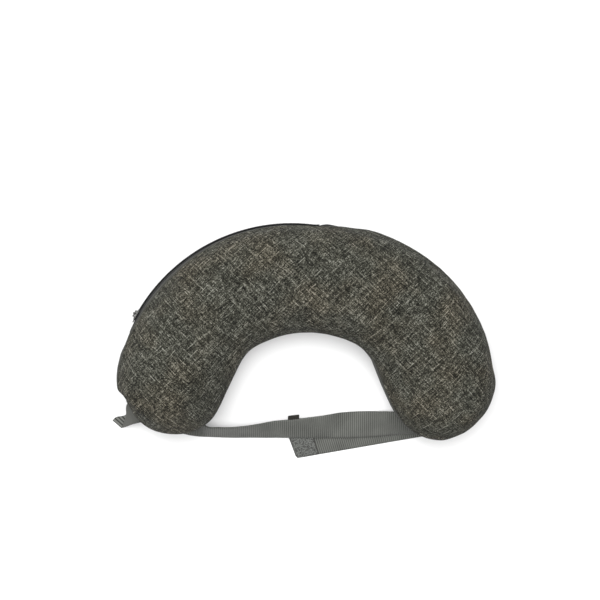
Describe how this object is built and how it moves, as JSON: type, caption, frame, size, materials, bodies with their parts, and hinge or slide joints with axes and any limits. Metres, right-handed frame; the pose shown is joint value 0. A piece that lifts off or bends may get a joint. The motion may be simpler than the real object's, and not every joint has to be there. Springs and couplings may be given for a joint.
{
  "type": "chair headrest cushion",
  "caption": "Crescent neck and head rest with a zipped fabric cover over a foam core, and elastic straps with a hook-and-loop closure to hold it on a chair back.",
  "frame": {"origin": "on the back face, in the middle of the crown of the arch", "axes": "+X from the left leg to the right leg, +Y towards the crown, +Z out of the front face; the object lies on its back, as pictured"},
  "size_m": [0.384, 0.239, 0.095],
  "materials": {
    "foam": "open-cell moulded foam",
    "liner": "thin plain knit inner bag",
    "heather_fabric": "charcoal melange plain weave with pale slubs",
    "smooth_fabric": "smooth grey woven polyester",
    "webbing": "grey elastic webbing with cross ribs",
    "hook_tape": "short stiff hooks on a woven tape",
    "loop_fabric": "brushed loop tape",
    "thread": "dense polyester bar tack",
    "label": "blank folded woven tab",
    "zip_tape": "black herringbone zip tape",
    "zip_coil": "black nylon coil",
    "zip_metal": "dull nickel-plated casting"
  },
  "bodies": {
    "cushion": {"foam_core": "foam", "inner_liner": "liner", "front_panel": "heather_fabric", "back_panel": "smooth_fabric", "side_gusset": "smooth_fabric", "zip_gusset_front": "smooth_fabric", "zip_gusset_back": "smooth_fabric", "zip_tape_front": "zip_tape", "zip_tape_back": "zip_tape", "zip_coil_front": "zip_coil", "zip_coil_back": "zip_coil", "zip_top_stops": "zip_metal", "zip_bottom_stop": "zip_metal", "strap_anchor_left": "webbing", "strap_anchor_right": "webbing", "bartack_left": "thread", "bartack_right": "thread"},
    "slider": {"zip_slider": "zip_metal"},
    "pull": {"zip_pull": "zip_metal"},
    "left_strap": {"strap_left": "webbing", "loop_patch": "loop_fabric", "strap_label": "label"},
    "right_strap": {"strap_right": "webbing", "hook_patch": "hook_tape"}
  },
  "joints": [
    {"name": "zip_travel", "type": "hinge", "parent": "cushion", "child": "slider", "pos_m": [-0.0153, -0.1212, 0.048], "axis": [0, 0, -1], "range_deg": [0, 67.9]},
    {"name": "pull_flip", "type": "hinge", "parent": "slider", "child": "pull", "pos_m": [-0.17179, -0.0341, 0.048], "axis": [0.4863, 0.8738, 0], "range_deg": [0, 175]},
    {"name": "left_strap_swing", "type": "hinge", "parent": "cushion", "child": "left_strap", "pos_m": [-0.186, -0.141, 0.001], "axis": [0, 0, -1], "range_deg": [0, 120]},
    {"name": "right_strap_swing", "type": "hinge", "parent": "cushion", "child": "right_strap", "pos_m": [0.168, -0.1417, 0.001], "axis": [0, 0, 1], "range_deg": [0, 120]}
  ]
}
